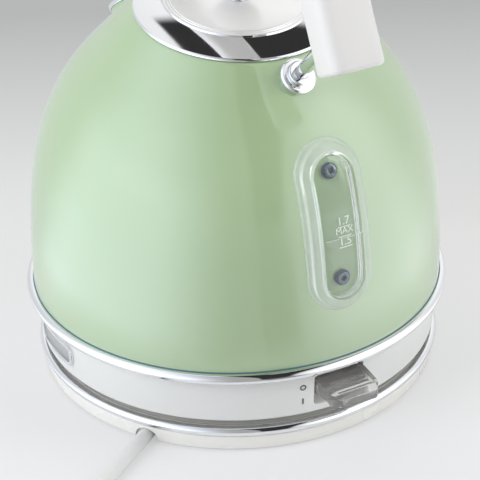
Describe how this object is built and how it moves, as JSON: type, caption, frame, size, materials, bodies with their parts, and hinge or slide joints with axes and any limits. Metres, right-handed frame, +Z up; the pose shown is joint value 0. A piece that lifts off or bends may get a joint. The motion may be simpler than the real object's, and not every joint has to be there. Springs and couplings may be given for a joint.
{
  "type": "cordless electric kettle",
  "caption": "Dome shaped electric kettle with an arched handle, rear water gauge and rocker switch, standing on its round corded power base.",
  "frame": {"origin": "centre of the power base on the surface it stands on", "axes": "+Z up along the kettle's axis, +Y towards the spout, -Y towards the water gauge, the switch and the user, +X to the user's right"},
  "size_m": [0.2644, 0.3415, 0.2575],
  "materials": {
    "painted_green": "smooth gloss enamel",
    "white_plastic": "satin gloss",
    "beige_plastic": "fine matt",
    "black_plastic": "fine matt",
    "chrome": "polished",
    "steel": "brushed",
    "zinc_steel": "zinc plated",
    "brass": "bare",
    "rubber": "matt",
    "silicone": "translucent matt",
    "clear_plastic": "clear moulded",
    "smoke_plastic": "smoky clear moulded",
    "amber_lamp": "translucent",
    "mark_print": "printed",
    "cord_white": "smooth flexible",
    "wire_colours": "smooth"
  },
  "bodies": {
    "power_base": {"base_housing": "white_plastic", "base_trim_ring": "chrome", "base_bottom_plate": "white_plastic", "base_feet": "rubber", "base_screws": "zinc_steel", "base_connector": "black_plastic", "base_contacts": "brass", "base_wires": "wire_colours", "cord_sleeve": "cord_white", "cord": "cord_white", "cord_coil": "cord_white", "cord_tail": "cord_white", "coil_tie": "rubber", "plug_body": "white_plastic", "plug_pins": "chrome"},
    "kettle": {"body_shell": "painted_green", "spout": "painted_green", "spout_lip": "chrome", "mouth_ring": "steel", "body_ring": "chrome", "lower_housing": "white_plastic", "bottom_cover": "white_plastic", "housing_screws": "zinc_steel", "badge_frame": "chrome", "badge_plate": "steel", "switch_marks": "mark_print", "switch_cage": "beige_plastic", "switch_pin": "zinc_steel", "indicator_lamp": "amber_lamp", "heating_plate": "steel", "plate_seal": "silicone", "heat_spreader": "steel", "heating_element": "steel", "thermostat_control": "black_plastic", "kettle_contacts": "brass", "steam_tube": "beige_plastic", "gauge_window": "clear_plastic", "gauge_nozzles": "steel", "gauge_seals": "silicone", "gauge_nuts": "zinc_steel", "rear_ferrule": "chrome", "front_ferrule": "chrome", "rear_rod": "chrome", "front_rod": "chrome", "rod_washers": "zinc_steel", "rod_nuts": "zinc_steel", "handle_grip": "white_plastic", "filter_holder": "white_plastic"},
    "lid": {"lid_cover": "chrome", "lid_plug": "beige_plastic", "lid_seal": "silicone", "knob_collar": "chrome", "knob": "white_plastic", "knob_screw": "zinc_steel"},
    "switch": {"switch_lever": "smoke_plastic"},
    "filter": {"filter_frame": "white_plastic", "filter_mesh": "steel"}
  },
  "joints": [
    {"name": "kettle_lift", "type": "slide", "parent": "power_base", "child": "kettle", "axis": [0, 0, 1], "range_m": [0, 0.12]},
    {"name": "lid_lift", "type": "slide", "parent": "kettle", "child": "lid", "axis": [0, -0.1392, 0.9903], "range_m": [0, 0.028]},
    {"name": "switch_rock", "type": "hinge", "parent": "kettle", "child": "switch", "pos_m": [0, -0.0804, 0.0279], "axis": [1, 0, 0], "range_deg": [0, 12]},
    {"name": "filter_lift", "type": "slide", "parent": "kettle", "child": "filter", "axis": [0, -0.5, 0.866], "range_m": [0, 0.012]}
  ]
}
